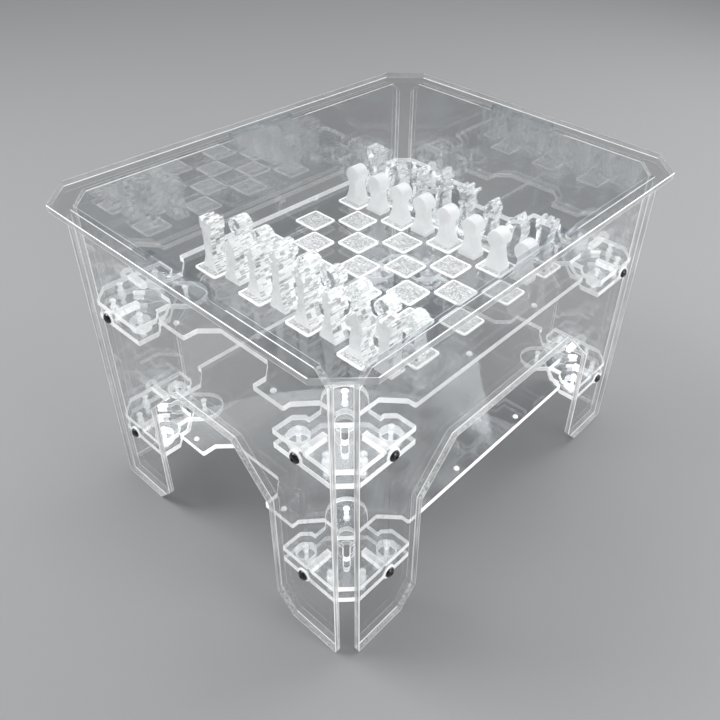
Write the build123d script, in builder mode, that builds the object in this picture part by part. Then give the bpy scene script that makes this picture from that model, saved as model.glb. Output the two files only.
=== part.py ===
from build123d import *
import os

# A clear acrylic table with a chess board shelf under its lift-off top, and 32 flat-cut pieces.
# Millimetres.  X runs along the short side, Y along the long side, Z up.  The origin is on the
# floor under the middle of the top.  Front is -Y, back is +Y, left is -X and right is +X.

# ---------- driving dimensions ----------
SHEET = 8.0                 # one sheet thickness for the top, panels, shelves and bracket plates
TOP_X = 530.0               # top plate, short side
TOP_Y = 676.0               # top plate, long side
HEIGHT = 464.0              # floor to the upper face of the top plate
TOP_CORNER = 45.0           # corner cut of the octagonal top
REST_GAP = 0.05             # air left under everything that lifts off

PANEL_INSET = 20.5          # edge of the top plate to the outer face of a panel
PANEL_END = 41.0            # edge line of the top plate to the end of a panel
PANEL_CORNER = 17.0         # cut on the two upper corners of a panel
TENON_L = 110.0             # tab in the middle of each upper edge, through the top plate
TENON_FIT = 0.3             # air round a tab, each side

LEG_W = 107.0               # width of a leg
FOOT_W = 80.0               # flat under a leg
FOOT_RISE = 29.0            # height of the cut on the inner side of a foot
CUT_RUN = 60.0              # slanted shoulder of the cut-out, along the panel
CUT_RISE = 64.0             # slanted shoulder of the cut-out, upward
CUT_TOP = 258.0             # upper edge of the cut-out

BOARD_Z = 320.0             # underside of the board shelf
LOWER_Z = 119.0             # underside of the lower shelf
PITCH = 45.5                # one square of the board
TILE = 44.0                 # side of a frosted square
TILE_R = 4.5
TILE_T = 2.0                # frosted squares are let in flush
TILE_FIT = 0.1

PLATE_GAP = 13.0            # between the two plates of a bracket
WING_L = 110.0              # bracket wing along a panel
WING_W = 39.0               # bracket wing across
WING_CUT = 10.5             # cut on the inner corner of a wing tip
NOSE_CUT = 22.4             # cut on the outer corner of a bracket
NECK = 94.0                 # where the tongue leaves the wings
TONGUE_C = 89.0             # centre of the tongue's round end
TONGUE_R = 27.0
KEYHOLE_C = 62.0            # centre of the round part of the keyhole
KEYHOLE_R = 10.5
KEYHOLE_W = 8.0             # slot of the keyhole
KEYHOLE_END = 44.0

INSERT_C = 63.0             # tapped bar that takes a panel screw
INSERT_W = 8.0
INSERT_L = 33.0
DISC_AT = (89.0, 18.5)      # round spacer in a wing
DISC_R = 13.0
POST_AT = (39.5, 12.5)      # small spacer near the outer corner
POST_R = 5.0
SHANK_R = 2.5               # every bolt and screw
HOLE_R = 2.6
BOLT_HEAD_R = 4.6
BOLT_HEAD_H = 2.8
NUT_R = 4.6
NUT_H = 4.0
SCREW_HEAD_R = 7.0
SCREW_HEAD_H = 4.5
SCREW_DEPTH = 25.0          # screw inside its tapped bar
SOCKET_R = 2.9
SOCKET_H = 2.6
WASHER_R = 9.5
WASHER_T = 1.5
STUD_R = 4.0
STUD_H = 3.5

PIECE_T = 22.0              # thickness of every chess piece, along Y
BASE_HALF = 14.5            # half width of every base
GROOVE_D = 0.9              # depth of the grooves in the cut edges of the front army
SEAM_W = 0.5                # two seams split each of its pieces into three layers
NOTCH_W = 1.6               # notches across the edges
NOTCH_PITCH = 7.0
NOTCH_LOW = 16.0            # lowest notch above the base
NOTCH_TOP = {"pawn": 60, "rook": 70, "knight": 24, "bishop": 66, "queen": 48, "king": 54}

# ---------- values worked out from them ----------
HALF_X = TOP_X / 2
HALF_Y = TOP_Y / 2
FACE_X = HALF_X - PANEL_INSET - SHEET       # inner face of the left and right panels
FACE_Y = HALF_Y - PANEL_INSET - SHEET       # inner face of the front and back panels
PANEL_H = HEIGHT - SHEET - REST_GAP
BOARD_TOP = BOARD_Z + SHEET
CORNERS = {"front_left": (-1, -1), "front_right": (1, -1), "back_left": (-1, 1), "back_right": (1, 1)}
LEVELS = {"upper": BOARD_Z, "lower": LOWER_Z}
SIDES = (-1, 1)
STUDS = [(90, 275), (208, 70)]              # one on each end tab, two on each long tab

os.makedirs("parts", exist_ok=True)


def save(part, label):
    part.label = label
    export_step(part, f"parts/{label}.step")


def corner_point(sx, sy, p, q):
    """Point p inward from the side panel and q inward from the end panel of one corner."""
    return (sx * (FACE_X - p), sy * (FACE_Y - q))


def corner_pairs(p, q):
    """The same place on both wings of every corner."""
    return [corner_point(sx, sy, *at) for sx, sy in CORNERS.values() for at in ((p, q), (q, p))]


def tile_centres():
    return [((i - 3.5) * PITCH, (j - 3.5) * PITCH) for i in range(8) for j in range(8) if (i + j) % 2 == 0]


# ---------- top plate ----------
def make_top():
    with BuildPart() as top:
        with BuildSketch(Plane.XY.offset(HEIGHT - SHEET)) as outline:
            Rectangle(TOP_X, TOP_Y)
            chamfer(outline.vertices(), length=TOP_CORNER)
            with Locations((0, FACE_Y + SHEET / 2), (0, -FACE_Y - SHEET / 2)):
                Rectangle(TENON_L + 2 * TENON_FIT, SHEET + 2 * TENON_FIT, mode=Mode.SUBTRACT)
            with Locations((FACE_X + SHEET / 2, 0), (-FACE_X - SHEET / 2, 0)):
                Rectangle(SHEET + 2 * TENON_FIT, TENON_L + 2 * TENON_FIT, mode=Mode.SUBTRACT)
        extrude(amount=SHEET)
    save(top.part, "top_plate")


# ---------- the four leg panels ----------
def panel_outline(half):
    """Right half of a panel's outline, from the middle of the tab down to the middle of the cut-out."""
    leg = half - LEG_W
    return [(TENON_L / 2, HEIGHT), (TENON_L / 2, PANEL_H), (half - PANEL_CORNER, PANEL_H),
            (half, PANEL_H - PANEL_CORNER), (half, 0), (half - FOOT_W, 0), (leg, FOOT_RISE),
            (leg, CUT_TOP - CUT_RISE), (leg - CUT_RUN, CUT_TOP)]


def make_panel(label, plane, half, screw_at):
    """plane stands on the panel's outer face with its normal pointing out of the table."""
    right = panel_outline(half)
    left = [(-x, z) for x, z in reversed(right)]
    with BuildPart() as panel:
        with BuildSketch(plane):
            with BuildLine():
                Polyline(*right, *left, close=True)
            make_face()
            with Locations(*[(side * screw_at, z - SHEET / 2) for side in SIDES for z in LEVELS.values()]):
                Circle(HOLE_R, mode=Mode.SUBTRACT)
        extrude(amount=-SHEET)
    save(panel.part, label)


def make_panels():
    out_x = FACE_X + SHEET
    out_y = FACE_Y + SHEET
    end_half = HALF_X - PANEL_END
    side_half = HALF_Y - PANEL_END
    end_screw = FACE_X - INSERT_C
    side_screw = FACE_Y - INSERT_C
    front = Plane(origin=(0, -out_y, 0), x_dir=(1, 0, 0), z_dir=(0, -1, 0))
    back = Plane(origin=(0, out_y, 0), x_dir=(-1, 0, 0), z_dir=(0, 1, 0))
    left = Plane(origin=(-out_x, 0, 0), x_dir=(0, -1, 0), z_dir=(-1, 0, 0))
    right = Plane(origin=(out_x, 0, 0), x_dir=(0, 1, 0), z_dir=(1, 0, 0))
    make_panel("panel_front", front, end_half, end_screw)
    make_panel("panel_back", back, end_half, end_screw)
    make_panel("panel_left", left, side_half, side_screw)
    make_panel("panel_right", right, side_half, side_screw)


# ---------- board shelf, its squares, and the lower shelf ----------
def shelf_quarter():
    """Outline of one quarter of a shelf: an end tab, the corner notch and half of a long tab."""
    return [(44, 244), (64, 264), (64, 284), (116, 284), (116, 274), (138, 250), (182, 250),
            (182, 201), (207, 180), (218, 180)]


def shelf_outline():
    quarter = shelf_quarter()
    back_right = list(reversed(quarter))
    back_left = [(-x, y) for x, y in quarter]
    front_left = [(-x, -y) for x, y in back_right]
    front_right = [(x, -y) for x, y in quarter]
    return back_right + back_left + front_left + front_right


def make_shelf(label, z, pockets):
    with BuildPart() as shelf:
        with BuildSketch(Plane.XY.offset(z)) as outline:
            with BuildLine():
                Polyline(*shelf_outline(), close=True)
            make_face()
            fillet(outline.vertices(), radius=2.5)
            with Locations(*corner_pairs(KEYHOLE_C, KEYHOLE_C)[::2]):
                Circle(KEYHOLE_R, mode=Mode.SUBTRACT)
            with Locations(*corner_pairs(TONGUE_C, TONGUE_C)[::2]):
                Circle(HOLE_R, mode=Mode.SUBTRACT)
        extrude(amount=SHEET)
        if pockets:
            with BuildSketch(Plane.XY.offset(z + SHEET)):
                with Locations(*tile_centres()):
                    RectangleRounded(TILE + 2 * TILE_FIT, TILE + 2 * TILE_FIT, TILE_R + TILE_FIT)
            extrude(amount=-TILE_T, mode=Mode.SUBTRACT)
    save(shelf.part, label)


def make_tiles():
    with BuildPart() as tiles:
        with BuildSketch(Plane.XY.offset(BOARD_TOP - TILE_T)):
            with Locations(*tile_centres()):
                RectangleRounded(TILE, TILE, TILE_R)
        extrude(amount=TILE_T)
    save(tiles.part, "board_squares")


# ---------- corner brackets ----------
def plate_half(tongue):
    """Half of a bracket plate, from the outer corner along one wing to the tongue or the cut-off neck."""
    wing = [(NOSE_CUT, 0), (WING_L, 0), (WING_L, WING_W - WING_CUT), (WING_L - WING_CUT, WING_W),
            (NECK, WING_W)]
    side = TONGUE_R / 2 ** 0.5
    neck = (NECK, NECK - 2 * side)
    return wing + [neck, (TONGUE_C + side, TONGUE_C - side)] if tongue else wing + [neck]


def bracket_outline(sx, sy, tongue):
    """Outline of one bracket plate with its keyhole and the holes of its four spacer bolts."""
    half = plate_half(tongue)
    near = [corner_point(sx, sy, p, q) for p, q in half]
    far = [corner_point(sx, sy, q, p) for p, q in half]
    tip = TONGUE_C + TONGUE_R / 2 ** 0.5
    middle = (KEYHOLE_C + KEYHOLE_END) / 2
    slot_l = (KEYHOLE_C - KEYHOLE_END) * 2 ** 0.5 + KEYHOLE_W
    bolts = [corner_point(sx, sy, *at) for at in (DISC_AT, DISC_AT[::-1], POST_AT, POST_AT[::-1])]
    with BuildSketch() as outline:
        with BuildLine():
            Polyline(*near)
            Polyline(*far)
            Line(near[0], far[0])
            if tongue:
                ThreePointArc(near[-1], corner_point(sx, sy, tip, tip), far[-1])
            else:
                Line(near[-1], far[-1])
        make_face()
        with Locations(corner_point(sx, sy, KEYHOLE_C, KEYHOLE_C)):
            Circle(KEYHOLE_R, mode=Mode.SUBTRACT)
        with Locations(corner_point(sx, sy, middle, middle)):
            SlotOverall(slot_l, KEYHOLE_W, rotation=45 * sx * sy, mode=Mode.SUBTRACT)
        with Locations(*bolts):
            Circle(HOLE_R, mode=Mode.SUBTRACT)
    return outline.sketch


def make_top_bracket_plate(label, sx, sy, z):
    """Plate under a shelf, with the tongue and a slot for each of its two tapped bars."""
    outline = bracket_outline(sx, sy, tongue=True)
    with BuildPart() as plate:
        with BuildSketch(Plane.XY.offset(z - SHEET)):
            add(outline)
            with Locations(corner_point(sx, sy, TONGUE_C, TONGUE_C)):
                Circle(HOLE_R, mode=Mode.SUBTRACT)
            with Locations(corner_point(sx, sy, INSERT_C, INSERT_L / 2)):
                Rectangle(INSERT_W, INSERT_L, mode=Mode.SUBTRACT)
            with Locations(corner_point(sx, sy, INSERT_L / 2, INSERT_C)):
                Rectangle(INSERT_L, INSERT_W, mode=Mode.SUBTRACT)
        extrude(amount=SHEET)
    save(plate.part, label)


def make_bottom_bracket_plates(label, z):
    outlines = [bracket_outline(sx, sy, tongue=False) for sx, sy in CORNERS.values()]
    with BuildPart() as plates:
        with BuildSketch(Plane.XY.offset(z - 2 * SHEET - PLATE_GAP)):
            add(outlines)
        extrude(amount=SHEET)
    save(plates.part, label)


def make_brackets():
    for level, z in LEVELS.items():
        for corner, (sx, sy) in CORNERS.items():
            make_top_bracket_plate(f"bracket_plate_{level}_{corner}", sx, sy, z)
        make_bottom_bracket_plates(f"bracket_base_plates_{level}", z)


def make_spacers(label, at, radius):
    with BuildPart() as spacers:
        for z in LEVELS.values():
            with BuildSketch(Plane.XY.offset(z - SHEET - PLATE_GAP)):
                with Locations(*corner_pairs(*at)):
                    Circle(radius)
                    Circle(HOLE_R, mode=Mode.SUBTRACT)
            extrude(amount=PLATE_GAP)
    save(spacers.part, label)


# ---------- bolts, nuts, studs ----------
def make_bolts(label, places, seat_drop, grip):
    """Button-headed bolts; the head sits seat_drop above each level and the shank is grip long."""
    with BuildPart() as bolts:
        for z in LEVELS.values():
            with BuildSketch(Plane.XY.offset(z + seat_drop)):
                with Locations(*places):
                    Circle(BOLT_HEAD_R)
            extrude(amount=BOLT_HEAD_H, taper=20)
            with BuildSketch(Plane.XY.offset(z + seat_drop)):
                with Locations(*places):
                    Circle(SHANK_R)
            extrude(amount=-grip)
    save(bolts.part, label)


def make_nuts():
    wing_places = corner_pairs(*DISC_AT) + corner_pairs(*POST_AT)
    tongue_places = corner_pairs(TONGUE_C, TONGUE_C)[::2]
    with BuildPart() as nuts:
        for z in LEVELS.values():
            for places, drop in ((wing_places, 2 * SHEET + PLATE_GAP), (tongue_places, SHEET)):
                with BuildSketch(Plane.XY.offset(z - drop)):
                    with Locations(*places):
                        RegularPolygon(NUT_R, 6)
                        Circle(HOLE_R, mode=Mode.SUBTRACT)
                extrude(amount=-NUT_H)
    save(nuts.part, "clear_nuts")


def make_studs():
    with BuildPart() as studs:
        for z in LEVELS.values():
            with BuildSketch(Plane.XY.offset(z + SHEET)):
                with Locations(*[(sx * x, sy * y) for x, y in STUDS for sx in SIDES for sy in SIDES]):
                    Circle(STUD_R)
            extrude(amount=STUD_H, taper=25)
    save(studs.part, "shelf_studs")


# ---------- panel screws, washers and tapped bars ----------
def screw_planes():
    """A plane at every screw, on the panel's outer face, with its normal pointing out of the table."""
    planes = []
    for z in LEVELS.values():
        height = z - SHEET / 2
        for sx, sy in CORNERS.values():
            end_x = sx * (FACE_X - INSERT_C)
            side_y = sy * (FACE_Y - INSERT_C)
            planes.append(Plane(origin=(end_x, sy * (FACE_Y + SHEET), height), z_dir=(0, sy, 0)))
            planes.append(Plane(origin=(sx * (FACE_X + SHEET), side_y, height), z_dir=(sx, 0, 0)))
    return planes


def make_screws():
    with BuildPart() as screws:
        for plane in screw_planes():
            seat = plane.offset(WASHER_T)
            with BuildSketch(seat):
                Circle(SCREW_HEAD_R)
            extrude(amount=SCREW_HEAD_H, taper=18)
            with BuildSketch(seat):
                Circle(SHANK_R)
            extrude(amount=-(WASHER_T + SHEET + SCREW_DEPTH))
            with BuildSketch(seat.offset(SCREW_HEAD_H)):
                RegularPolygon(SOCKET_R, 6)
            extrude(amount=-SOCKET_H, mode=Mode.SUBTRACT)
    save(screws.part, "panel_screws")


def make_washers():
    with BuildPart() as washers:
        for plane in screw_planes():
            with BuildSketch(plane):
                Circle(WASHER_R)
                Circle(HOLE_R, mode=Mode.SUBTRACT)
            extrude(amount=WASHER_T)
    save(washers.part, "panel_washers")


def make_inserts():
    with BuildPart() as inserts:
        for plane in screw_planes():
            with BuildSketch(plane.offset(-SHEET)):
                Rectangle(INSERT_W, INSERT_W)
                Circle(HOLE_R, mode=Mode.SUBTRACT)
            extrude(amount=-INSERT_L)
    save(inserts.part, "panel_inserts")


# ---------- chess pieces: flat outlines in X and Z, extruded along Y ----------
def both_halves(points):
    """A closed outline, from its right half given from the base up to the top."""
    return points + [(-x, z) for x, z in reversed(points) if x > 0]


def foot(neck_half, neck_z):
    """Block base with a body that sweeps in to the neck, the same on every piece."""
    bend = (neck_half + 1.6, neck_z * 0.52)
    with BuildSketch() as base:
        with BuildLine():
            Polyline((0, 0), (BASE_HALF, 0), (BASE_HALF, 6), (BASE_HALF - 1.5, 7.5))
            ThreePointArc((BASE_HALF - 1.5, 7.5), bend, (neck_half, neck_z))
            Line((neck_half, neck_z), (0, neck_z))
            mirror(about=Plane.YZ)
        make_face()
    return base.sketch


def pawn_outline():
    base = foot(6.5, 38)
    with BuildSketch() as outline:
        add(base)
        with Locations((0, 47)):
            Circle(13)
    return outline.sketch


def rook_outline():
    base = foot(8, 30)
    tower = [(8, 29), (9, 58), (12, 62), (12, 76), (8, 76), (8, 72), (3, 72), (3, 76)]
    with BuildSketch() as outline:
        add(base)
        with BuildLine():
            Polyline(*both_halves(tower), close=True)
        make_face()
    return outline.sketch


def bishop_outline():
    base = foot(6, 46)
    with BuildSketch() as outline:
        add(base)
        with Locations((0, 47)):
            SlotOverall(19, 6)
        with BuildLine():
            Line((0, 48), (5, 48))
            ThreePointArc((5, 48), (9, 57), (2, 67))
            Line((2, 67), (0, 67))
            mirror(about=Plane.YZ)
        make_face()
        with Locations((0, 68.5)):
            Circle(3)
        with Locations((5.5, 60)):
            Rectangle(9, 1.8, rotation=50, mode=Mode.SUBTRACT)
    return outline.sketch


def queen_outline():
    base = foot(6, 48)
    crown = [(5, 50), (8, 61), (11.5, 70), (5.5, 66), (0, 73)]
    with BuildSketch() as outline:
        add(base)
        with Locations((0, 50)):
            SlotOverall(20, 6)
        with BuildLine():
            Polyline(*both_halves(crown), close=True)
        make_face()
        with Locations((-11.5, 71.5), (11.5, 71.5), (0, 75)):
            Circle(3)
    return outline.sketch


def king_outline():
    base = foot(6.5, 54)
    cross = [(5, 56), (9, 68), (3, 70), (3, 74), (9, 74), (9, 80), (3, 80), (3, 87)]
    with BuildSketch() as outline:
        add(base)
        with Locations((0, 56)):
            SlotOverall(21, 6)
        with BuildLine():
            Polyline(*both_halves(cross), close=True)
        make_face()
    return outline.sketch


def knight_outline():
    """Horse head looking towards -X, with cuts across the mane."""
    base = foot(9, 24)
    head = [(9, 23), (13, 36), (12.5, 48), (8, 58), (3.5, 63), (1.5, 67), (-2, 61), (-8, 58),
            (-14, 49), (-15, 43), (-10, 41), (-4, 46), (-7, 36), (-9, 23)]
    with BuildSketch() as outline:
        add(base)
        with BuildLine():
            Polyline(*head, close=True)
        make_face()
        for x, z, turn in ((14, 34, 5), (14.5, 41, 0), (13.5, 48, -15), (10.5, 54.5, -35)):
            with Locations((x, z)):
                Rectangle(5, 1.6, rotation=turn, mode=Mode.SUBTRACT)
    return outline.sketch


SHAPES = {"pawn": pawn_outline, "rook": rook_outline, "knight": knight_outline,
          "bishop": bishop_outline, "queen": queen_outline, "king": king_outline}
BACK_ROW = ["rook", "knight", "bishop", "king", "queen", "bishop", "knight", "rook"]


def plain_body(kind):
    """A smooth piece, on the XY plane with its thickness along Z."""
    return extrude(SHAPES[kind](), PIECE_T)


def grooved_body(kind):
    """A piece in three layers, with a seam between them and notches across its cut edges."""
    outline = SHAPES[kind]()
    inner = outline & Pos(GROOVE_D, 0) * outline & Pos(-GROOVE_D, 0) * outline & Pos(0, -GROOVE_D) * outline
    ring = outline - inner
    count = int((NOTCH_TOP[kind] - NOTCH_LOW) / NOTCH_PITCH) + 1
    with BuildSketch() as bands:
        with Locations(*[(0, NOTCH_LOW + i * NOTCH_PITCH) for i in range(count)]):
            Rectangle(4 * BASE_HALF, NOTCH_W)
    body = extrude(outline - (bands.sketch - inner), PIECE_T)
    for third in (1, 2):
        seam = Pos(0, 0, third * PIECE_T / 3 - SEAM_W / 2) * ring
        body -= extrude(seam, SEAM_W)
    return body


def make_piece(label, body, column, row):
    x = (column - 3.5) * PITCH
    y = (row - 3.5) * PITCH + PIECE_T / 2
    stand = Plane(origin=(x, y, BOARD_TOP + REST_GAP), x_dir=(1, 0, 0), z_dir=(0, -1, 0))
    save(stand * body, label)


def make_armies():
    """Columns count from -X; the front army fills rows 0 and 1, the back army rows 7 and 6."""
    for army, make_body, row, pawn_row in (("front", grooved_body, 0, 1), ("back", plain_body, 7, 6)):
        bodies = {kind: make_body(kind) for kind in SHAPES}
        for column, kind in enumerate(BACK_ROW):
            make_piece(f"{army}_{kind}_{column + 1}", bodies[kind], column, row)
            make_piece(f"{army}_pawn_{column + 1}", bodies["pawn"], column, pawn_row)


make_top()
make_panels()
make_shelf("board_shelf", BOARD_Z, pockets=True)
make_shelf("lower_shelf", LOWER_Z, pockets=False)
make_tiles()
make_brackets()
make_spacers("bracket_discs", DISC_AT, DISC_R)
make_spacers("bracket_posts", POST_AT, POST_R)
make_bolts("bracket_bolts", corner_pairs(*DISC_AT) + corner_pairs(*POST_AT), 0, 2 * SHEET + PLATE_GAP + NUT_H)
make_bolts("tongue_bolts", corner_pairs(TONGUE_C, TONGUE_C)[::2], SHEET, 2 * SHEET + NUT_H)
make_nuts()
make_studs()
make_screws()
make_washers()
make_inserts()
make_armies()
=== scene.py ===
import math

import bmesh
import bpy
from mathutils import Matrix, Vector


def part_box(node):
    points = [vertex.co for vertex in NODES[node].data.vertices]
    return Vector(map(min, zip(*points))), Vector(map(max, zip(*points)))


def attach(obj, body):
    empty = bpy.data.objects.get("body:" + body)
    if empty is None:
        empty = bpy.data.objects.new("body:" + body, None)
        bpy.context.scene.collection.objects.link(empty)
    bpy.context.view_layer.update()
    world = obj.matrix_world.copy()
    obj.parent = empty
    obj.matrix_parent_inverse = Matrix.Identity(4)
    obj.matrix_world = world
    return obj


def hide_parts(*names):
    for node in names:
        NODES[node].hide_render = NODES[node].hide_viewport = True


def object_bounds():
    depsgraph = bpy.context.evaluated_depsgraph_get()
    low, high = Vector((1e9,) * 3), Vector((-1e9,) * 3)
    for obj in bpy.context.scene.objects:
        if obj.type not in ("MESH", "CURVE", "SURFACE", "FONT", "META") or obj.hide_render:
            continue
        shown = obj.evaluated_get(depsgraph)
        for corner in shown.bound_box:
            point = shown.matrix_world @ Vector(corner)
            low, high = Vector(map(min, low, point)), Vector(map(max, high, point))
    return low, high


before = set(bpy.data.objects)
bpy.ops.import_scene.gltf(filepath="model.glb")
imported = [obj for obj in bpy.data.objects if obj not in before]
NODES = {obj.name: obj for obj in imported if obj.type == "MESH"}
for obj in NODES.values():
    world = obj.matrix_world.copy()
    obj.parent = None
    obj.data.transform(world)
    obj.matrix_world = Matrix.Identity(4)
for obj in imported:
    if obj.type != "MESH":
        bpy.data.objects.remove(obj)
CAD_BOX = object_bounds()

# A clear acrylic chess table. The CAD sheets and chessmen keep their shapes, with softened arrises
# and procedural materials. The small turned parts (screws, bolts, nuts, studs, washers) are rebuilt
# in detail. Metres. X is the short side, Y the long side, Z up; the table stands on z = 0.

scene = bpy.context.scene
TABLE_BODY = "table"

# ---------- camera ----------
CAMERA_AT = Vector((0.6095, -0.6733, 0.9077))
CAMERA_TO = Vector((0.2452, -0.2149, 0.4640))
CAMERA_ROLL = math.radians(3.518)
camera_data = bpy.data.cameras.new("camera")
camera_data.lens = 38.43
camera_data.sensor_width = 36.0
camera_data.shift_x = -0.0834
camera_data.shift_y = -0.0423
camera_data.clip_start = 0.01
camera_data.clip_end = 60.0
camera = bpy.data.objects.new("camera", camera_data)
scene.collection.objects.link(camera)
forward = (CAMERA_TO - CAMERA_AT).normalized()
level_right = forward.cross(Vector((0, 0, 1))).normalized()
level_up = level_right.cross(forward)
right = level_right * math.cos(CAMERA_ROLL) + level_up * math.sin(CAMERA_ROLL)
up = level_up * math.cos(CAMERA_ROLL) - level_right * math.sin(CAMERA_ROLL)
turn = Matrix((right, up, -forward)).transposed().to_4x4()
camera.matrix_world = Matrix.Translation(CAMERA_AT) @ turn
scene.camera = camera

# ---------- see-through depth and tone ----------
scene.cycles.transparent_max_bounces = 48
scene.cycles.max_bounces = 20
scene.cycles.transmission_bounces = 16
scene.cycles.glossy_bounces = 6
scene.view_settings.view_transform = "Standard"


# ---------- small helpers for node materials ----------
class Graph:
    """One material, with short calls to add its nodes."""

    def __init__(self, name):
        self.material = bpy.data.materials.new(name)
        self.material.use_nodes = True
        self.tree = self.material.node_tree
        self.tree.nodes.clear()

    def add(self, kind, inputs=None, **props):
        node = self.tree.nodes.new("ShaderNode" + kind)
        for key, value in props.items():
            setattr(node, key, value)
        for key, value in (inputs or {}).items():
            if isinstance(value, bpy.types.NodeSocket):
                self.tree.links.new(value, node.inputs[key])
            else:
                node.inputs[key].default_value = value
        return node

    def math(self, operation, *values, clamp=False):
        node = self.add("Math", dict(enumerate(values)), operation=operation)
        node.use_clamp = clamp
        return node.outputs[0]

    def vector_math(self, operation, *values):
        return self.add("VectorMath", dict(enumerate(values)), operation=operation).outputs[0]

    def noise(self, scale, detail=3.0, rough=0.5, stretch=(1, 1, 1)):
        """Noise in the object's own metres; stretch multiplies the coordinates along X, Y and Z."""
        place = self.add("TexCoord").outputs["Object"]
        place = self.vector_math("MULTIPLY", place, stretch)
        inputs = {"Vector": place, "Scale": scale, "Detail": detail, "Roughness": rough}
        return self.add("TexNoise", inputs).outputs["Fac"]

    def span(self, value, low, high, to_low, to_high):
        inputs = {"Value": value, "From Min": low, "From Max": high, "To Min": to_low, "To Max": to_high}
        return self.add("MapRange", inputs).outputs["Result"]

    def grey(self, value):
        return self.add("CombineColor", {"Red": value, "Green": value, "Blue": value}).outputs[0]

    def bump(self, height, strength, distance):
        inputs = {"Height": height, "Strength": strength, "Distance": distance}
        return self.add("Bump", inputs).outputs["Normal"]

    def mix(self, factor, first, second):
        node = self.add("MixShader", {0: factor, 1: first, 2: second})
        return node.outputs[0]

    def principled(self, **inputs):
        names = {key.replace("_", " "): value for key, value in inputs.items()}
        return self.add("BsdfPrincipled", names).outputs["BSDF"]

    def done(self, shader):
        out = self.add("OutputMaterial")
        self.tree.links.new(shader, out.inputs["Surface"])
        return self.material

    def true_normal(self, axis):
        """Size of the face normal along one axis: 1 on the broad faces of a sheet, 0 on its cut edges."""
        normal = self.add("NewGeometry").outputs["True Normal"]
        part = self.add("SeparateXYZ", {0: normal}).outputs[axis]
        return self.math("ABSOLUTE", part)

    def mirror_share(self, least):
        """How much one polished face of a sheet reflects, the bounce inside the sheet included."""
        facing = self.add("LayerWeight", {"Blend": 0.5}).outputs["Facing"]
        steep = self.math("POWER", facing, 4.0)
        return self.math("MULTIPLY_ADD", steep, 0.98 - least, least)


WHITE = (1.0, 1.0, 1.0, 1.0)
ACRYLIC_IOR = 1.49
BROAD = 0.93            # face normals beyond this belong to a sheet's broad faces
ARRIS = 0.12            # those between this and BROAD belong to its softened arrises
BOARD_PITCH = 0.0455    # one square of the board, whose grid is centred on the table
SQUARE_HALF = 0.022
SQUARE_CORNER = 0.0045
SQUARE_PAINTED_RIM = 0.0032     # width of a frosted square's painted highlight rim
KEYHOLE_AT = (0.1745, 0.2475)   # the keyhole's axis in the corner where X and Y are positive
KEYHOLE_REACH = 0.016
RIM_WIDTH = 0.006       # cut edges nearer the outline than this are the top's rim
SLOT_HALF = 0.08        # the tenon slots lie within this of the table's middle lines
PIECE_THICKNESS = 0.022
TOP_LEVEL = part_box("top_plate")[0][2] - 0.0005   # cut edges above this are in the top: tenons, slots, its rim


def polished_face(g, haze_low, haze_high, least_mirror):
    """Clear polished acrylic that a look passes straight through, with handling marks and a little haze."""
    smudge = g.noise(9.0, 5.0, 0.65)
    fine = g.noise(260.0, 2.0, 0.6)
    rough = g.span(smudge, 0.35, 0.75, 0.0, 0.012)
    glossy = g.add("BsdfGlossy", {"Color": WHITE, "Roughness": rough}).outputs[0]
    clear = g.add("BsdfTransparent", {"Color": (0.905, 0.911, 0.916, 1.0)}).outputs[0]
    face = g.mix(g.mirror_share(least_mirror), clear, glossy)
    dust = g.math("MULTIPLY", g.span(smudge, 0.3, 0.8, haze_low, haze_high), g.span(fine, 0.4, 0.7, 0.6, 1.4))
    film = g.add("BsdfDiffuse", {"Color": (0.9, 0.92, 0.93, 1.0)}).outputs[0]
    return g.mix(dust, face, film)


def near_keyhole(g):
    """1 within a keyhole's reach of any corner's keyhole axis, 0 elsewhere."""
    place = g.add("TexCoord").outputs["Object"]
    folded = g.vector_math("ABSOLUTE", place)
    flat = g.vector_math("MULTIPLY", folded, (1.0, 1.0, 0.0))
    away = g.add("VectorMath", {0: flat, 1: (*KEYHOLE_AT, 0.0)}, operation="DISTANCE").outputs["Value"]
    return g.math("LESS_THAN", away, KEYHOLE_REACH)


def in_tenon_slot(g):
    """1 on the tenons and slots in the top plate, whose polished walls hardly show; 0 elsewhere."""
    place = g.add("TexCoord").outputs["Object"]
    part = g.add("SeparateXYZ", {0: g.vector_math("ABSOLUTE", place)}).outputs
    inside_x = g.math("LESS_THAN", part[0], CAD_BOX[1][0] - RIM_WIDTH)
    inside_y = g.math("LESS_THAN", part[1], CAD_BOX[1][1] - RIM_WIDTH)
    middle = g.math("LESS_THAN", g.math("MINIMUM", part[0], part[1]), SLOT_HALF)
    inside = g.math("MULTIPLY", g.math("MULTIPLY", inside_x, inside_y), middle)
    return g.math("MULTIPLY", inside, g.math("GREATER_THAN", part[2], TOP_LEVEL))


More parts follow.
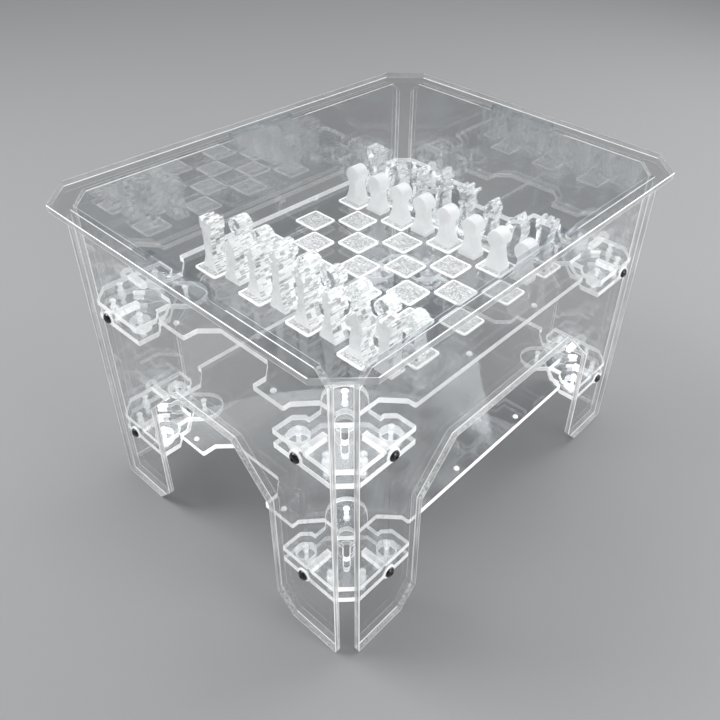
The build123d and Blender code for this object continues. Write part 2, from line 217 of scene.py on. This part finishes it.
def cut_edge(g, axis, low, high, painted_glow, clear_share):
    """Sawn and polished edge with a painted glow for the light it collects: fine strokes across the thickness,
    brighter patches. clear_share of its flat is clear, and its arrises are painted as bright highlights."""
    stretch = [1.0, 1.0, 1.0]
    stretch[axis] = 0.04
    strokes = g.noise(900.0, 2.0, 0.7, stretch)
    patches = g.noise(14.0, 3.0, 0.55)
    tone = g.math("MULTIPLY", g.span(patches, 0.3, 0.7, low, high),
                  g.span(strokes, 0.3, 0.7, 0.94, 1.04), clamp=True)
    if axis != 2:
        streaks = g.noise(420.0, 3.0, 0.7, (1.0, 1.0, 0.02))
        tone = g.math("MULTIPLY", tone, g.span(streaks, 0.4, 0.6, 0.45, 1.1), clamp=True)
    arris = g.math("GREATER_THAN", g.true_normal(axis), ARRIS)
    height = g.add("SeparateXYZ", {0: g.add("TexCoord").outputs["Object"]}).outputs[2]
    in_top = g.math("MULTIPLY", g.math("GREATER_THAN", height, TOP_LEVEL), 0.55)
    by_keyhole = g.math("MULTIPLY", near_keyhole(g), 0.6)
    slot = in_tenon_slot(g)
    arris = g.math("MULTIPLY", arris, g.math("SUBTRACT", 1.0, g.math("MAXIMUM", slot, by_keyhole)))
    # painted highlight: the arrises are set to white wherever they are not masked
    tone = g.math("MAXIMUM", tone, arris)
    colour = g.grey(tone)
    # painted glow: the edge emits its own tone, in place of light piped through the sheet
    opaque_with_painted_glow = g.principled(Base_Color=colour, Roughness=0.3, Specular_IOR_Level=0.6, Coat_Weight=0.4,
                       Coat_Roughness=0.08, Emission_Color=colour, Emission_Strength=painted_glow,
                       Normal=g.bump(strokes, 0.15, 0.0002))
    through = g.add("BsdfTransparent", {"Color": (0.86, 0.88, 0.89, 1.0)}).outputs[0]
    share = g.math("ADD", g.span(patches, 0.3, 0.7, 1.3 * clear_share, 0.7 * clear_share),
                   g.math("MAXIMUM", g.math("MAXIMUM", in_top, by_keyhole), slot))
    share = g.math("MULTIPLY", share, g.math("SUBTRACT", 1.0, arris), clamp=True)
    return g.mix(share, opaque_with_painted_glow, through)


def sheet_material(name, axis, edge=(0.62, 0.95), painted_glow=0.4, clear_share=0.36, haze=(0.0, 0.012),
                   least_mirror=0.1):
    """Clear sheet whose broad faces lie across one axis. edge is the tone's range on its cut edges,
    painted_glow the strength of the painted glow on them, and clear_share how much of them is seen through."""
    g = Graph(name)
    broad = g.math("GREATER_THAN", g.true_normal(axis), BROAD)
    edges = cut_edge(g, axis, *edge, painted_glow, clear_share)
    return g.done(g.mix(broad, edges, polished_face(g, *haze, least_mirror)))


def layer_strokes(g, scale):
    """Bands across the thickness of a chessman's cut edges, different in each of its three layers."""
    place = g.add("SeparateXYZ", {0: g.add("TexCoord").outputs["Object"]})
    row = g.math("DIVIDE", place.outputs[1], BOARD_PITCH)
    across = g.math("MULTIPLY", g.math("SUBTRACT", g.math("FRACT", row), 0.5), BOARD_PITCH)
    layer = g.math("FLOOR", g.math("MULTIPLY_ADD", across, 3 / PIECE_THICKNESS, 0.5))
    spot = g.add("CombineXYZ", {"X": place.outputs[0], "Y": layer, "Z": place.outputs[2]}).outputs[0]
    inputs = {"Vector": spot, "Scale": scale, "Detail": 3.0, "Roughness": 0.7}
    return g.add("TexNoise", inputs).outputs["Fac"]


def ground_piece_material(name):
    """Engraved and ground acrylic: matt broad faces across Y that let some light through, and cut edges
    with fine bright and dark strokes across the thickness; the brighter parts carry a painted glow."""
    g = Graph(name)
    strokes = layer_strokes(g, 115.0)
    speckle = g.noise(900.0, 3.0, 0.7)
    cloud = g.noise(55.0, 4.0, 0.65)
    broad = g.math("GREATER_THAN", g.true_normal(1), BROAD)
    on_face = g.math("MULTIPLY", g.span(cloud, 0.35, 0.65, 0.9, 1.0), g.span(speckle, 0.35, 0.65, 0.93, 1.05))
    on_edge = g.span(strokes, 0.43, 0.49, 0.22, 1.0)
    tone = g.math("ADD", g.math("MULTIPLY", broad, on_face),
                  g.math("MULTIPLY", g.math("SUBTRACT", 1.0, broad), on_edge), clamp=True)
    colour = g.grey(tone)
    painted_glow_colour = g.grey(g.math("POWER", tone, 3.0))
    # painted glow: emission from the tone cubed, strongest on the bright strokes
    opaque_with_painted_glow = g.principled(Base_Color=colour, Roughness=0.3, Specular_IOR_Level=0.6, Coat_Weight=0.4,
                       Coat_Roughness=0.1, Emission_Color=painted_glow_colour, Emission_Strength=0.38,
                       Normal=g.bump(speckle, 0.3, 0.0002))
    glass = g.principled(Base_Color=(0.93, 0.95, 0.955, 1.0), Roughness=g.span(speckle, 0.3, 0.7, 0.03, 0.18),
                         IOR=ACRYLIC_IOR, Transmission_Weight=1.0)
    return g.done(g.mix(g.span(tone, 0.5, 0.95, 0.55, 0.08), opaque_with_painted_glow, glass))


def frosted_material(name, tone, grain, painted_glow):
    """Acrylic ground matt all over, with light scattered below the surface and a painted glow in its own
    colour.
    """
    g = Graph(name)
    cloud = g.noise(38.0, 4.0, 0.6)
    speckle = g.noise(grain, 3.0, 0.7)
    shade = g.math("MULTIPLY", g.span(cloud, 0.3, 0.7, *tone),
                   g.span(speckle, 0.3, 0.7, 0.93, 1.05), clamp=True)
    colour = g.grey(shade)
    # painted glow: the surface emits its own colour
    return g.done(g.principled(
        Base_Color=colour, Roughness=0.42, Subsurface_Weight=0.35, Subsurface_Radius=(0.012, 0.012, 0.012),
        Subsurface_Scale=1.0, Specular_IOR_Level=0.5, Emission_Color=colour, Emission_Strength=painted_glow,
        Normal=g.bump(speckle, 0.25, 0.00025)))


def clear_piece_material(name, frost):
    """Thick clear acrylic: polished broad faces across Y, and cut edges with bands and a share of frost that
    carries a painted glow.
    """
    g = Graph(name)
    strokes = layer_strokes(g, 130.0)
    broad = g.math("GREATER_THAN", g.true_normal(1), BROAD)
    rough = g.span(g.math("MAXIMUM", strokes, broad), 0.35, 1.0, 0.05, 0.008)
    glass = g.principled(Base_Color=(0.93, 0.95, 0.955, 1.0), Roughness=rough, IOR=ACRYLIC_IOR,
                         Transmission_Weight=1.0)
    # painted glow: the frosted share emits white
    frost_with_painted_glow = g.principled(Base_Color=(0.97, 0.98, 0.98, 1.0), Roughness=0.35, Emission_Color=WHITE,
                           Emission_Strength=0.55)
    edge_share = g.span(strokes, 0.44, 0.54, 0.06, frost)
    share = g.math("MULTIPLY_ADD", g.math("SUBTRACT", 1.0, broad), edge_share, 0.04)
    return g.done(g.mix(share, glass, frost_with_painted_glow))


def moulded_clear_material(name, cloud=(0.5, 0.8)):
    """Clear moulded plastic of the bolts, nuts, studs and washers; cloud is its milky share, which carries a
    painted glow.
    """
    g = Graph(name)
    swirl = g.noise(420.0, 3.0, 0.6)
    glass = g.principled(Base_Color=(0.95, 0.97, 0.98, 1.0),
                         Roughness=g.span(swirl, 0.3, 0.7, 0.04, 0.16), IOR=ACRYLIC_IOR,
                         Transmission_Weight=1.0, Normal=g.bump(swirl, 0.2, 0.0003))
    # painted glow: the milky body emits white
    body = g.principled(Base_Color=(0.9, 0.92, 0.93, 1.0), Roughness=0.2, Coat_Weight=0.6,
                        Emission_Color=WHITE, Emission_Strength=0.45)
    return g.done(g.mix(g.span(swirl, 0.3, 0.7, *cloud), glass, body))


def black_screw_material():
    g = Graph("black_coated_steel")
    grain = g.noise(1500.0, 3.0, 0.6)
    wear = g.noise(130.0, 4.0, 0.65)
    colour = g.grey(g.span(wear, 0.45, 0.8, 0.012, 0.05))
    return g.done(g.principled(Base_Color=colour, Metallic=0.35,
                               Roughness=g.span(wear, 0.3, 0.7, 0.2, 0.36),
                               Coat_Weight=0.8, Coat_Roughness=0.08, Normal=g.bump(grain, 0.2, 0.0001)))


def square_material():
    """Frosted square: mottled matt middle inside a bright rim that is a painted highlight, found from its place
    on the board's grid; both carry a painted glow.
    """
    g = Graph("frosted_square")
    place = g.add("SeparateXYZ", {0: g.add("TexCoord").outputs["Object"]})
    sides = []
    for axis in (0, 1):
        cell = g.math("FRACT", g.math("DIVIDE", place.outputs[axis], BOARD_PITCH))
        off = g.math("ABSOLUTE", g.math("MULTIPLY", g.math("SUBTRACT", cell, 0.5), BOARD_PITCH))
        sides.append(g.math("SUBTRACT", off, SQUARE_HALF - SQUARE_CORNER))
    outside = [g.math("POWER", g.math("MAXIMUM", side, 0.0), 2.0) for side in sides]
    round_part = g.math("SQRT", g.math("ADD", *outside))
    flat_part = g.math("MINIMUM", g.math("MAXIMUM", *sides), 0.0)
    to_edge = g.math("SUBTRACT", g.math("ADD", round_part, flat_part), SQUARE_CORNER)
    # painted highlight: a bright band just inside each square's outline
    bright = g.span(to_edge, -SQUARE_PAINTED_RIM - 0.0004, -SQUARE_PAINTED_RIM + 0.0002, 0.0, 1.0)
    mottle = g.noise(520.0, 4.0, 0.75)
    cloud = g.noise(60.0, 3.0, 0.6)
    middle = g.math("MULTIPLY", g.span(mottle, 0.38, 0.62, 0.3, 0.95),
                    g.span(cloud, 0.3, 0.7, 0.9, 1.1), clamp=True)
    tone = g.math("MAXIMUM", middle, bright)
    colour = g.grey(tone)
    painted_glow_colour = g.grey(g.math("POWER", tone, 2.0))
    # painted glow: emission from the tone squared
    frost = g.principled(Base_Color=colour, Roughness=0.42, Specular_IOR_Level=0.5, Emission_Color=painted_glow_colour,
                         Emission_Strength=0.5, Normal=g.bump(mottle, 0.4, 0.0003))
    clear = g.add("BsdfTransparent", {"Color": (0.98, 0.985, 0.99, 1.0)}).outputs[0]
    thin = g.span(tone, 0.4, 0.95, 0.12, 0.0)
    return g.done(g.mix(thin, frost, clear))


# ---------- turned parts ----------
THREAD_PITCH = 0.0008
BOLT_THREAD_DEPTH = 0.00035
SCREW_THREAD_DEPTH = 0.00032
HEAD_SEGMENTS = 24
BORE_RADIUS = 0.0026    # of the washers and nuts
BOLT = (0.0046, 0.0028, 0.0025)                         # head radius, head height, shank radius
SCREW_SIZE = (0.007, 0.0045, 0.0025, 0.0029, 0.0026)    # the same, then the socket's radius and depth
BOLT_SOCKET = (0.0017, 0.0013)                          # radius across its corners, and depth
STUD_SOCKET = (0.0016, 0.0014)


def revolve(profile, segments):
    """Vertices and faces of a closed solid turned about Z, from (radius, height) points, bottom to top."""
    verts, faces, rings = [], [], []
    for radius, height in profile:
        if radius < 1e-7:
            rings.append([len(verts)])
            verts.append((0.0, 0.0, height))
            continue
        rings.append(list(range(len(verts), len(verts) + segments)))
        for k in range(segments):
            angle = 2 * math.pi * k / segments
            verts.append((radius * math.cos(angle), radius * math.sin(angle), height))
    for low, high in zip(rings, rings[1:]):
        for k in range(segments):
            n = (k + 1) % segments
            if len(low) == 1:
                faces.append((low[0], high[n], high[k]))
            elif len(high) == 1:
                faces.append((low[k], low[n], high[0]))
            else:
                faces.append((low[k], low[n], high[n], high[k]))
    return verts, faces


def dome(radius, height, seat, steps):
    """Profile of a button head from its seat up to the start of its flat."""
    base = 0.08             # share of the height below the round part
    last = math.radians(78)
    points = [(radius * 0.94, seat), (radius, seat + height * base)]
    for k in range(1, steps + 1):
        angle = last * k / steps
        rise = base + (1 - base) * math.sin(angle) / math.sin(last)
        points.append((radius * math.cos(angle) ** 0.8, seat + height * rise))
    return points


def thread(radius, low, high, pitch, depth):
    """Profile of a threaded shank, from low up to high."""
    points = [(0.0, low), (radius - 2 * depth, low), (radius - depth, low + pitch / 2)]
    count = int((high - low - pitch) / pitch)
    for k in range(count):
        base = low + pitch / 2 + k * pitch
        points.append((radius, base + 0.35 * pitch))
        points.append((radius - depth, base + 0.85 * pitch))
    points.append((radius - depth, high))
    return points


def islands(node):
    """(lowest corner, highest corner) of every separate solid of a CAD node."""
    work = bmesh.new()
    work.from_mesh(NODES[node].data)
    bmesh.ops.remove_doubles(work, verts=work.verts, dist=2e-6)
    work.verts.ensure_lookup_table()
    seen, found = set(), []
    for start in work.verts:
        if start.index in seen:
            continue
        seen.add(start.index)
        stack, points = [start], []
        while stack:
            vert = stack.pop()
            points.append(vert.co.copy())
            for edge in vert.link_edges:
                other = edge.other_vert(vert)
                if other.index not in seen:
                    seen.add(other.index)
                    stack.append(other)
        low = Vector([min(p[a] for p in points) for a in range(3)])
        high = Vector([max(p[a] for p in points) for a in range(3)])
        found.append((low, high))
    work.free()
    return found


def build(name, parts, material, node, smooth_angle=32.0):
    """One piece from (vertices, faces, matrix) parts; it rides on the table and stands for a CAD node."""
    mesh = bpy.data.meshes.new(name)
    verts, faces = [], []
    for part_verts, part_faces, matrix in parts:
        start = len(verts)
        verts.extend(matrix @ Vector(v) for v in part_verts)
        faces.extend(tuple(start + i for i in face) for face in part_faces)
    mesh.from_pydata(verts, [], faces)
    work = bmesh.new()
    work.from_mesh(mesh)
    bmesh.ops.recalc_face_normals(work, faces=work.faces)
    work.to_mesh(mesh)
    work.free()
    mesh.materials.append(material)
    piece = bpy.data.objects.new(name, mesh)
    scene.collection.objects.link(piece)
    mesh.shade_smooth()
    mesh.set_sharp_from_angle(angle=math.radians(smooth_angle))
    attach(piece, TABLE_BODY)
    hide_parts(node)
    return piece


def stand(point, direction):
    """Matrix that puts a part's origin at a point with its Z along a direction."""
    return Matrix.Translation(point) @ Vector((0, 0, 1)).rotation_difference(direction).to_matrix().to_4x4()


def hexagon(radius, low, high, chamfer):
    """A hexagonal prism with chamfered corners, as a nut's body."""
    verts, faces = [], []
    levels = [(low, chamfer), (low + chamfer, 0.0), (high - chamfer, 0.0), (high, chamfer)]
    for height, cut in levels:
        for k in range(12):
            angle = math.pi / 6 * k
            corner = radius - cut if k % 2 == 0 else radius * math.cos(math.pi / 6)
            verts.append((corner * math.cos(angle), corner * math.sin(angle), height))
    for level in range(3):
        for k in range(12):
            n = (k + 1) % 12
            faces.append((12 * level + k, 12 * level + n, 12 * level + 12 + n, 12 * level + 12 + k))
    return verts, faces


def socket_head(profile_radius, seat, height, hex_radius, hex_depth, shank):
    """A button head with a hexagon socket on a threaded shank, turned about Z, seat at z = seat."""
    rim_z = seat + height
    count = HEAD_SEGMENTS
    verts, faces = revolve(shank + dome(profile_radius, height, seat, 7), count)
    ring = list(range(len(verts) - count, len(verts)))
    start = len(verts)
    for depth, scale in ((0.0, 1.0), (hex_depth, 0.98)):
        for k in range(count):
            angle = 2 * math.pi * k / count
            turn_in = (angle + math.pi / 6) % (math.pi / 3) - math.pi / 6
            radius = scale * hex_radius * math.cos(math.pi / 6) / math.cos(turn_in)
            verts.append((radius * math.cos(angle), radius * math.sin(angle), rim_z - depth))
    for k in range(count):
        n = (k + 1) % count
        faces.append((ring[k], ring[n], start + n, start + k))
    for k in range(count):
        n = (k + 1) % count
        faces.append((start + k, start + n, start + count + n, start + count + k))
    faces.append(tuple(start + count + k for k in range(count)))
    return verts, faces


def bolt_parts(node, head_r, head_h, shank_r):
    parts = []
    for low, high in islands(node):
        middle = (low + high) / 2
        length = high.z - low.z
        seat = length - head_h
        shank = thread(shank_r, 0.0, seat, THREAD_PITCH, BOLT_THREAD_DEPTH)
        verts, faces = socket_head(head_r, seat, head_h, *BOLT_SOCKET, shank)
        parts.append((verts, faces, Matrix.Translation((middle.x, middle.y, low.z))))
    return parts


def screw_parts(node, head_r, head_h, shank_r, hex_r, hex_depth):
    parts = []
    for low, high in islands(node):
        middle = (low + high) / 2
        size = high - low
        axis = max((0, 1), key=lambda a: size[a])
        out = Vector((0, 0, 0))
        out[axis] = math.copysign(1.0, middle[axis])
        foot = middle - out * size[axis] / 2
        seat = size[axis] - head_h
        shank = thread(shank_r, 0.0, seat, THREAD_PITCH, SCREW_THREAD_DEPTH)
        verts, faces = socket_head(head_r, seat, head_h, hex_r, hex_depth, shank)
        parts.append((verts, faces, stand(foot, out)))
    return parts


def washer_parts(node, hole_r):
    parts = []
    for low, high in islands(node):
        middle = (low + high) / 2
        size = high - low
        axis = min((0, 1), key=lambda a: size[a])
        thick = size[axis]
        radius = size.z / 2
        out = Vector((0, 0, 0))
        out[axis] = math.copysign(1.0, middle[axis])
        soft = 0.0003
        profile = [(hole_r, 0.0), (radius - soft, 0.0), (radius, soft), (radius, thick - soft),
                   (radius - soft, thick), (hole_r, thick), (hole_r, 0.0)]
        verts, faces = revolve(profile, 48)
        parts.append((verts, faces, stand(middle - out * thick / 2, out)))
    return parts


def nut_parts(node, bore_r):
    parts = []
    for low, high in islands(node):
        middle = (low + high) / 2
        verts, faces = hexagon((high.x - low.x) / 2, 0.0, high.z - low.z, 0.0004)
        top = high.z - low.z
        start = len(verts)
        for height in (0.0, top):
            for k in range(12):
                angle = math.pi / 6 * k
                verts.append((bore_r * math.cos(angle), bore_r * math.sin(angle), height))
        for k in range(12):
            n = (k + 1) % 12
            faces.append((start + k, start + n, start + 12 + n, start + 12 + k))
            faces.append((k, n, start + n, start + k))
            faces.append((36 + k, 36 + n, start + 12 + n, start + 12 + k))
        parts.append((verts, faces, Matrix.Translation((middle.x, middle.y, low.z))))
    return parts


def stud_parts(node):
    parts = []
    for low, high in islands(node):
        middle = (low + high) / 2
        radius = (high.x - low.x) / 2
        height = high.z - low.z
        verts, faces = socket_head(radius, 0.0, height, *STUD_SOCKET, [(0.0, 0.0)])
        parts.append((verts, faces, Matrix.Translation((middle.x, middle.y, low.z))))
    return parts


# ---------- finishes on the CAD nodes ----------
def soften(node, width, segments=2):
    """Weld the split edges and take the sharpness off the arrises."""
    weld = node.modifiers.new("weld", "WELD")
    weld.merge_threshold = 2e-6
    bevel = node.modifiers.new("arris", "BEVEL")
    bevel.width = width
    bevel.segments = segments
    bevel.limit_method = "ANGLE"
    bevel.angle_limit = math.radians(35)
    bevel.use_clamp_overlap = True


def finish_node(name, material, width, segments=2):
    node = NODES[name]
    node.data.materials.clear()
    node.data.materials.append(material)
    soften(node, width, segments)


PANEL_MIRROR = 0.165
TOP = sheet_material("clear_sheet_top", 2, edge=(0.5, 0.9), painted_glow=0.25, clear_share=0.1, least_mirror=0.04)
SHELF = sheet_material("clear_sheet_shelf", 2, edge=(0.85, 1.0), painted_glow=0.9, clear_share=0.1, least_mirror=0.08)
SIDE = sheet_material("clear_sheet_side", 0, least_mirror=PANEL_MIRROR)
END = sheet_material("clear_sheet_end", 1, least_mirror=PANEL_MIRROR)
BRACKET = sheet_material("clear_bracket", 2, edge=(0.85, 1.0), painted_glow=0.9, clear_share=0.24, haze=(0.0, 0.02))
FROSTED = ground_piece_material("frosted_piece")
BAR = frosted_material("frosted_bar", tone=(0.8, 1.0), grain=500.0, painted_glow=0.4)
GROUND = frosted_material("ground_pawn", tone=(0.86, 1.0), grain=700.0, painted_glow=0.3)
CLEAR_PIECE = clear_piece_material("clear_piece", 0.7)
CLEAREST = clear_piece_material("clear_officer", 0.35)
MOULDED = moulded_clear_material("clear_hardware")
WASHER = moulded_clear_material("clear_washer", cloud=(0.7, 0.92))
SCREW = black_screw_material()
SQUARE = square_material()

SHEET_ARRIS = 0.0008    # widths of the softened arrises
BRACKET_ARRIS = 0.0006
SMALL_ARRIS = 0.0004
SHEETS = {"top_plate": TOP, "board_shelf": SHELF, "lower_shelf": SHELF, "panel_front": END,
          "panel_back": END, "panel_left": SIDE, "panel_right": SIDE}
for name, material in SHEETS.items():
    finish_node(name, material, SHEET_ARRIS)
for name in NODES:
    if name.startswith(("bracket_plate_", "bracket_base_plates_")) or name == "bracket_discs":
        finish_node(name, BRACKET, BRACKET_ARRIS)
finish_node("bracket_posts", BRACKET, SMALL_ARRIS)
finish_node("panel_inserts", BAR, 0.0003)
finish_node("board_squares", SQUARE, SMALL_ARRIS)
for name in NODES:
    if name.startswith("front_pawn_"):
        finish_node(name, CLEAR_PIECE, 0.0008, 3)
    elif name.startswith("front_"):
        finish_node(name, FROSTED, 0.0009, 3)
    elif name.startswith("back_pawn_"):
        finish_node(name, GROUND, 0.0012, 3)
    elif name.startswith("back_"):
        finish_node(name, CLEAREST, 0.001, 3)

# ---------- detailed small parts ----------
build("bracket_bolts_turned", bolt_parts("bracket_bolts", *BOLT), MOULDED,
      "bracket_bolts")
build("tongue_bolts_turned", bolt_parts("tongue_bolts", *BOLT), MOULDED,
      "tongue_bolts")
build("clear_nuts_cut", nut_parts("clear_nuts", BORE_RADIUS), MOULDED, "clear_nuts", 25.0)
build("shelf_studs_turned", stud_parts("shelf_studs"), MOULDED, "shelf_studs")
build("panel_washers_turned", washer_parts("panel_washers", BORE_RADIUS), WASHER,
      "panel_washers")
build("panel_screws_turned", screw_parts("panel_screws", *SCREW_SIZE), SCREW,
      "panel_screws")

# ---------- stage ----------
FLOOR = 12.0            # half the side of the floor
floor_mesh = bpy.data.meshes.new("floor")
floor_mesh.from_pydata([(-FLOOR, -FLOOR, 0), (FLOOR, -FLOOR, 0), (FLOOR, FLOOR, 0), (-FLOOR, FLOOR, 0)], [],
                       [(0, 1, 2, 3)])
floor = bpy.data.objects.new("floor", floor_mesh)
scene.collection.objects.link(floor)
g = Graph("pale_floor")
floor_mesh.materials.append(g.done(g.principled(Base_Color=(0.25, 0.2525, 0.256, 1.0), Roughness=0.75)))
floor.location.z = -0.0004

world = bpy.data.worlds.new("studio")
world.use_nodes = True
world.node_tree.nodes["Background"].inputs["Color"].default_value = (0.42, 0.43, 0.44, 1.0)
world.node_tree.nodes["Background"].inputs["Strength"].default_value = 0.36
scene.world = world


def softbox(name, at, to, size, power):
    data = bpy.data.lights.new(name, "AREA")
    data.shape = "RECTANGLE"
    data.size, data.size_y = size
    data.energy = power
    lamp = bpy.data.objects.new(name, data)
    aim = (Vector(to) - Vector(at)).to_track_quat("-Z", "Y")
    lamp.matrix_world = Matrix.Translation(at) @ aim.to_matrix().to_4x4()
    scene.collection.objects.link(lamp)


softbox("key", (-1.6, -1.1, 2.3), (0, 0, 0.3), (1.3, 1.3), 62)
softbox("back", (0.6, 2.4, 1.9), (0, 0, 0.3), (2.2, 1.0), 50)
softbox("side", (2.3, 0.2, 1.3), (0, 0, 0.25), (1.0, 1.6), 32)
sky = bpy.data.lights.new("overhead", "SUN")
sky.energy = 1.7
sky.angle = math.radians(60)
overhead = bpy.data.objects.new("overhead", sky)
overhead.rotation_euler = (math.radians(-12), math.radians(-14), 0)
scene.collection.objects.link(overhead)
